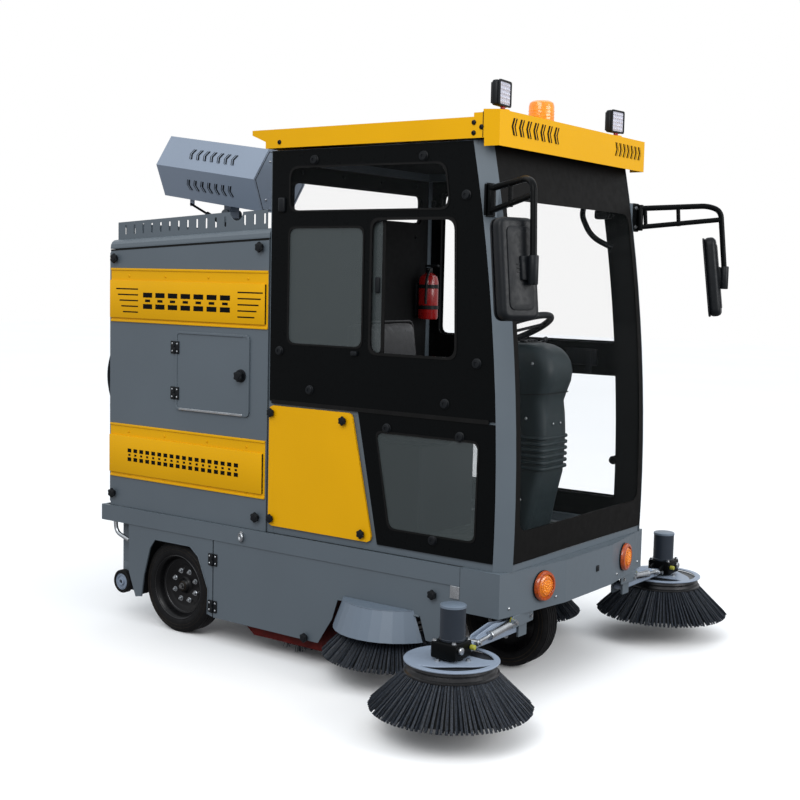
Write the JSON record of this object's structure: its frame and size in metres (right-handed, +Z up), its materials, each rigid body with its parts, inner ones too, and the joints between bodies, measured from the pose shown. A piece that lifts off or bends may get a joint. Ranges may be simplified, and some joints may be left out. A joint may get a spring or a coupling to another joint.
{
  "type": "ride-on sweeper",
  "caption": "Enclosed-cab ride-on sweeper with splayed side brushes, an under-body roller brush, a hopper housing and a roof-mounted blower unit.",
  "frame": {"origin": "on the ground under the middle of the machine's box, brushes lifted for transport", "axes": "+Z up; +Y towards the machine's rear, so it drives along -Y; +X towards its left side, where the cab door is"},
  "size_m": [2.256, 2.4788, 2.265],
  "materials": {
    "grey_paint": "satin",
    "light_grey_paint": "satin",
    "yellow_paint": "gloss",
    "black_plastic": "matt",
    "dark_glass": "gloss",
    "rubber": "matt",
    "red_rubber": "matt",
    "bristle": "matt",
    "steel": "satin",
    "vinyl": "satin"
  },
  "bodies": {
    "chassis": {"chassis_frame": "grey_paint", "front_bumper": "grey_paint", "fender_right": "grey_paint", "fender_left": "grey_paint", "rear_body": "grey_paint", "hood": "grey_paint", "guard_rail": "grey_paint", "blower_pedestal": "grey_paint", "cab_frame": "grey_paint", "roof": "yellow_paint", "windscreen": "dark_glass", "upper_glass_right": "dark_glass", "lower_glass_right": "dark_glass", "cab_panel_right": "yellow_paint", "rear_wall": "grey_paint", "seat_base": "black_plastic", "steering_console": "black_plastic", "rear_axle": "black_plastic", "dirt_flaps": "red_rubber", "dust_bin": "steel"},
    "seat": {"seat_cushion": "vinyl", "seat_back": "vinyl"},
    "steering_wheel_body": {"steering_wheel": "black_plastic"},
    "steering_fork": {"steer_fork": "black_plastic"},
    "front_wheel_body": {"front_wheel": "rubber"},
    "roller_frame": {"roller_arms": "steel"},
    "roller": {"roller_brush": "bristle"},
    "hatch": {"hatch_right": "grey_paint"},
    "rear_door_body": {"rear_door": "grey_paint"},
    "door": {"cab_door": "grey_paint"},
    "window": {"window_slider_right": "dark_glass"},
    "blower": {"blower_housing": "light_grey_paint"},
    "strut_cylinder": {"blower_strut_cylinder": "black_plastic"},
    "strut_rod": {"blower_strut_rod": "steel"},
    "pedal_body": {"accelerator_pedal": "black_plastic"},
    "rear_wheel_body_right": {"rear_wheel_right": "rubber"},
    "guide_right": {"guide_wheel_right": "rubber"},
    "skirt_right": {"skirt_door_right": "grey_paint", "mid_cover_right": "light_grey_paint"},
    "front_arm_body_right": {"front_arm_right": "light_grey_paint"},
    "front_head_body_right": {"front_head_right": "black_plastic"},
    "front_brush_body_right": {"front_brush_right": "bristle"},
    "mid_head_body_right": {"mid_head_right": "black_plastic"},
    "mid_brush_body_right": {"mid_brush_right": "bristle"},
    "lamp_right": {"work_light_right": "black_plastic"},
    "mirror_tube_right": {"mirror_arm_right": "black_plastic"},
    "mirror_right": {"mirror_head_right": "black_plastic"},
    "rear_wheel_body_left": {"rear_wheel_left": "rubber"},
    "guide_left": {"guide_wheel_left": "rubber"},
    "skirt_left": {"skirt_door_left": "grey_paint", "mid_cover_left": "light_grey_paint"},
    "front_arm_body_left": {"front_arm_left": "light_grey_paint"},
    "front_head_body_left": {"front_head_left": "black_plastic"},
    "front_brush_body_left": {"front_brush_left": "bristle"},
    "mid_head_body_left": {"mid_head_left": "black_plastic"},
    "mid_brush_body_left": {"mid_brush_left": "bristle"},
    "lamp_left": {"work_light_left": "black_plastic"},
    "mirror_tube_left": {"mirror_arm_left": "black_plastic"},
    "mirror_left": {"mirror_head_left": "black_plastic"}
  },
  "joints": [
    {"name": "steer", "type": "hinge", "parent": "chassis", "child": "steering_fork", "pos_m": [0, -0.6755, 0.44], "axis": [0, 0, 1], "range_deg": [-45, 45]},
    {"name": "steering_wheel_turn", "type": "hinge", "parent": "chassis", "child": "steering_wheel_body", "pos_m": [0, -0.6215, 1.343], "axis": [0, 0.4226, 0.9063], "range_deg": [-270, 270]},
    {"name": "front_wheel_spin", "type": "hinge", "parent": "steering_fork", "child": "front_wheel_body", "pos_m": [0, -0.6755, 0.198], "axis": [1, 0, 0], "continuous": true},
    {"name": "seat_slide", "type": "slide", "parent": "chassis", "child": "seat", "axis": [0, 1, 0], "range_m": [-0.08, 0.04]},
    {"name": "roller_lift", "type": "hinge", "parent": "chassis", "child": "roller_frame", "pos_m": [0, -0.0915, 0.335], "axis": [1, 0, 0], "range_deg": [0, 18]},
    {"name": "roller_spin", "type": "hinge", "parent": "roller_frame", "child": "roller", "pos_m": [0, 0.0785, 0.152], "axis": [1, 0, 0], "continuous": true},
    {"name": "hatch_hinge", "type": "hinge", "parent": "chassis", "child": "hatch", "pos_m": [-0.565, 0.6845, 1.14], "axis": [0, 0, 1], "range_deg": [-100, 0]},
    {"name": "rear_door_hinge", "type": "hinge", "parent": "chassis", "child": "rear_door_body", "pos_m": [0.55, 1.1185, 1.08], "axis": [0, 0, 1], "range_deg": [-110, 0]},
    {"name": "cab_door_hinge", "type": "hinge", "parent": "chassis", "child": "door", "pos_m": [0.562, 0.1505, 1.28], "axis": [0, 0, 1], "range_deg": [0, 80]},
    {"name": "window_slide", "type": "slide", "parent": "chassis", "child": "window", "axis": [0, 1, 0], "range_m": [-0.32, 0]},
    {"name": "blower_tilt", "type": "hinge", "parent": "chassis", "child": "blower", "pos_m": [0, 0.8985, 1.83], "axis": [1, 0, 0], "range_deg": [-8, 10]},
    {"name": "strut_swing", "type": "hinge", "parent": "chassis", "child": "strut_cylinder", "pos_m": [-0.08, 0.8035, 1.754], "axis": [1, 0, 0], "range_deg": [-6, 8]},
    {"name": "strut_slide", "type": "slide", "parent": "strut_cylinder", "child": "strut_rod", "axis": [0, 0.9135, 0.4067], "range_m": [-0.01, 0.01]},
    {"name": "pedal", "type": "hinge", "parent": "chassis", "child": "pedal_body", "pos_m": [-0.16, -0.6715, 0.522], "axis": [1, 0, 0], "range_deg": [0, 18], "stiffness_Nm_per_rad": 2, "springref_deg": -5.73},
    {"name": "rear_wheel_spin_right", "type": "hinge", "parent": "chassis", "child": "rear_wheel_body_right", "pos_m": [-0.505, 0.6725, 0.198], "axis": [1, 0, 0], "continuous": true},
    {"name": "guide_wheel_spin_right", "type": "hinge", "parent": "chassis", "child": "guide_right", "pos_m": [-0.5475, 1.0165, 0.171], "axis": [1, 0, 0], "continuous": true},
    {"name": "skirt_right_hinge", "type": "hinge", "parent": "chassis", "child": "skirt_right", "pos_m": [-0.577, 0.4395, 0.27], "axis": [0, 0, 1], "range_deg": [-90, 0]},
    {"name": "front_arm_lift_right", "type": "hinge", "parent": "chassis", "child": "front_arm_body_right", "pos_m": [-0.42, -0.9535, 0.29], "axis": [0, 1, 0], "range_deg": [-16.4, 0]},
    {"name": "front_head_level_right", "type": "hinge", "parent": "front_arm_body_right", "child": "front_head_body_right", "pos_m": [-0.77, -0.9535, 0.29], "axis": [0, 1, 0], "range_deg": [0, 16.4]},
    {"name": "front_brush_spin_right", "type": "hinge", "parent": "front_head_body_right", "child": "front_brush_body_right", "pos_m": [-0.842, -0.9535, 0.262], "axis": [0, 0, 1], "continuous": true},
    {"name": "mid_lift_right", "type": "slide", "parent": "chassis", "child": "mid_head_body_right", "axis": [0, 0, 1], "range_m": [-0.098, 0]},
    {"name": "mid_brush_spin_right", "type": "hinge", "parent": "mid_head_body_right", "child": "mid_brush_body_right", "pos_m": [-0.458, -0.4315, 0.262], "axis": [0, 0, 1], "continuous": true},
    {"name": "lamp_tilt_right", "type": "hinge", "parent": "chassis", "child": "lamp_right", "pos_m": [-0.442, -0.8535, 2.182], "axis": [1, 0, 0], "range_deg": [-30, 30]},
    {"name": "mirror_fold_right", "type": "hinge", "parent": "chassis", "child": "mirror_tube_right", "pos_m": [-0.59, -0.8985, 1.829], "axis": [0, 0, 1], "range_deg": [-35, 30]},
    {"name": "mirror_aim_right", "type": "hinge", "parent": "mirror_tube_right", "child": "mirror_right", "pos_m": [-0.797, -1.1975, 1.588], "axis": [0, 0, 1], "range_deg": [-20, 20]},
    {"name": "rear_wheel_spin_left", "type": "hinge", "parent": "chassis", "child": "rear_wheel_body_left", "pos_m": [0.505, 0.6725, 0.198], "axis": [1, 0, 0], "continuous": true},
    {"name": "guide_wheel_spin_left", "type": "hinge", "parent": "chassis", "child": "guide_left", "pos_m": [0.5475, 1.0165, 0.171], "axis": [1, 0, 0], "continuous": true},
    {"name": "skirt_left_hinge", "type": "hinge", "parent": "chassis", "child": "skirt_left", "pos_m": [0.577, 0.4395, 0.27], "axis": [0, 0, 1], "range_deg": [0, 90]},
    {"name": "front_arm_lift_left", "type": "hinge", "parent": "chassis", "child": "front_arm_body_left", "pos_m": [0.42, -0.9535, 0.29], "axis": [0, 1, 0], "range_deg": [0, 16.4]},
    {"name": "front_head_level_left", "type": "hinge", "parent": "front_arm_body_left", "child": "front_head_body_left", "pos_m": [0.77, -0.9535, 0.29], "axis": [0, 1, 0], "range_deg": [-16.4, 0]},
    {"name": "front_brush_spin_left", "type": "hinge", "parent": "front_head_body_left", "child": "front_brush_body_left", "pos_m": [0.842, -0.9535, 0.262], "axis": [0, 0, 1], "continuous": true},
    {"name": "mid_lift_left", "type": "slide", "parent": "chassis", "child": "mid_head_body_left", "axis": [0, 0, 1], "range_m": [-0.098, 0]},
    {"name": "mid_brush_spin_left", "type": "hinge", "parent": "mid_head_body_left", "child": "mid_brush_body_left", "pos_m": [0.458, -0.4315, 0.262], "axis": [0, 0, 1], "continuous": true},
    {"name": "lamp_tilt_left", "type": "hinge", "parent": "chassis", "child": "lamp_left", "pos_m": [0.442, -0.8535, 2.182], "axis": [1, 0, 0], "range_deg": [-30, 30]},
    {"name": "mirror_fold_left", "type": "hinge", "parent": "chassis", "child": "mirror_tube_left", "pos_m": [0.59, -0.8985, 1.829], "axis": [0, 0, 1], "range_deg": [-30, 35]},
    {"name": "mirror_aim_left", "type": "hinge", "parent": "mirror_tube_left", "child": "mirror_left", "pos_m": [0.797, -1.1975, 1.588], "axis": [0, 0, 1], "range_deg": [-20, 20]}
  ],
  "couplings": [
    {"joint": "steering_wheel_turn", "follows": "steer", "ratio": 6},
    {"joint": "strut_swing", "follows": "blower_tilt", "ratio": 0.6201},
    {"joint": "strut_slide", "follows": "blower_tilt", "m_per_rad": 0.0308},
    {"joint": "front_head_level_right", "follows": "front_arm_lift_right", "ratio": -1},
    {"joint": "front_head_level_left", "follows": "front_arm_lift_left", "ratio": -1}
  ]
}
